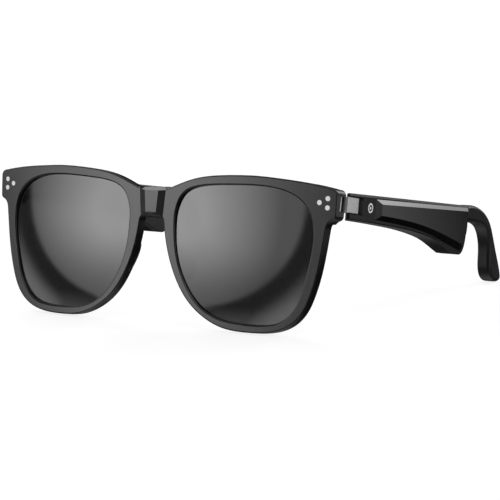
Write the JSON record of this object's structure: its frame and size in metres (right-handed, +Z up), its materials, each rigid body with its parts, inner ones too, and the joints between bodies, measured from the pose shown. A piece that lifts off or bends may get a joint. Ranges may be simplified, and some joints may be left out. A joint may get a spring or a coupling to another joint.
{
  "type": "smart glasses",
  "caption": "Square black sunglasses with audio electronics in thick side arms, silver hinge blocks that fold inwards and curved rubber ear tips.",
  "frame": {"origin": "centre of the footprint, on the table the open glasses stand on", "axes": "+Z up from the table, -Y the way the lenses face, +X the wearer's left; lower rims and ear tips touch z = 0 and the whole pair leans back 11.4 degrees from the worn pose"},
  "size_m": [0.1444, 0.1388, 0.0542],
  "materials": {
    "front_acetate": "satin gloss black acetate",
    "dark_lens": "dark grey sun lens with a light mirror",
    "satin_metal": "satin",
    "steel_screw": "turned",
    "temple_shell": "satin black",
    "gloss_panel": "polished black",
    "soft_seal": "matt",
    "emblem_print": "printed white",
    "tip_rubber": "satin soft touch",
    "gold_contact": "plated",
    "circuit_board": "solder mask",
    "chip_case": "moulded",
    "cell_foil": "foil pouch",
    "driver_case": "moulded",
    "grille_metal": "black mesh",
    "flex_film": "polyimide film"
  },
  "bodies": {
    "front": {"front_frame": "front_acetate", "lens_left": "dark_lens", "lens_right": "dark_lens", "nose_pad_left": "front_acetate", "nose_pad_right": "front_acetate", "rivet_dots_left": "satin_metal", "rivet_dots_right": "satin_metal", "hinge_socket_left": "satin_metal", "hinge_socket_right": "satin_metal", "socket_screws_left": "steel_screw", "socket_screws_right": "steel_screw"},
    "temple_left": {"temple_housing_left": "temple_shell", "temple_panel_left": "gloss_panel", "panel_gasket_left": "soft_seal", "temple_emblem_left": "emblem_print", "hinge_block_left": "satin_metal", "hinge_pin_left": "steel_screw", "hinge_screw_left": "steel_screw", "panel_screws_left": "steel_screw", "charge_contacts_left": "gold_contact", "tip_core_left": "steel_screw", "ear_tip_left": "tip_rubber", "main_board_left": "circuit_board", "processor_chip_left": "chip_case", "battery_left": "cell_foil", "speaker_driver_left": "driver_case", "speaker_grille_left": "grille_metal", "microphone_left": "chip_case", "touch_strip_left": "flex_film", "antenna_left": "gold_contact", "flex_cable_left": "flex_film"},
    "temple_right": {"temple_housing_right": "temple_shell", "temple_panel_right": "gloss_panel", "panel_gasket_right": "soft_seal", "temple_emblem_right": "emblem_print", "hinge_block_right": "satin_metal", "hinge_pin_right": "steel_screw", "hinge_screw_right": "steel_screw", "panel_screws_right": "steel_screw", "charge_contacts_right": "gold_contact", "tip_core_right": "steel_screw", "ear_tip_right": "tip_rubber", "main_board_right": "circuit_board", "processor_chip_right": "chip_case", "battery_right": "cell_foil", "speaker_driver_right": "driver_case", "speaker_grille_right": "grille_metal", "microphone_right": "chip_case", "touch_strip_right": "flex_film", "antenna_right": "gold_contact", "flex_cable_right": "flex_film"}
  },
  "joints": [
    {"name": "left_temple_fold", "type": "hinge", "parent": "front", "child": "temple_left", "pos_m": [0.0648, -0.05195, 0.04473], "axis": [0, 0.1977, 0.9803], "range_deg": [0, 92]},
    {"name": "right_temple_fold", "type": "hinge", "parent": "front", "child": "temple_right", "pos_m": [-0.0648, -0.05195, 0.04473], "axis": [0, -0.1977, -0.9803], "range_deg": [0, 70]}
  ]
}
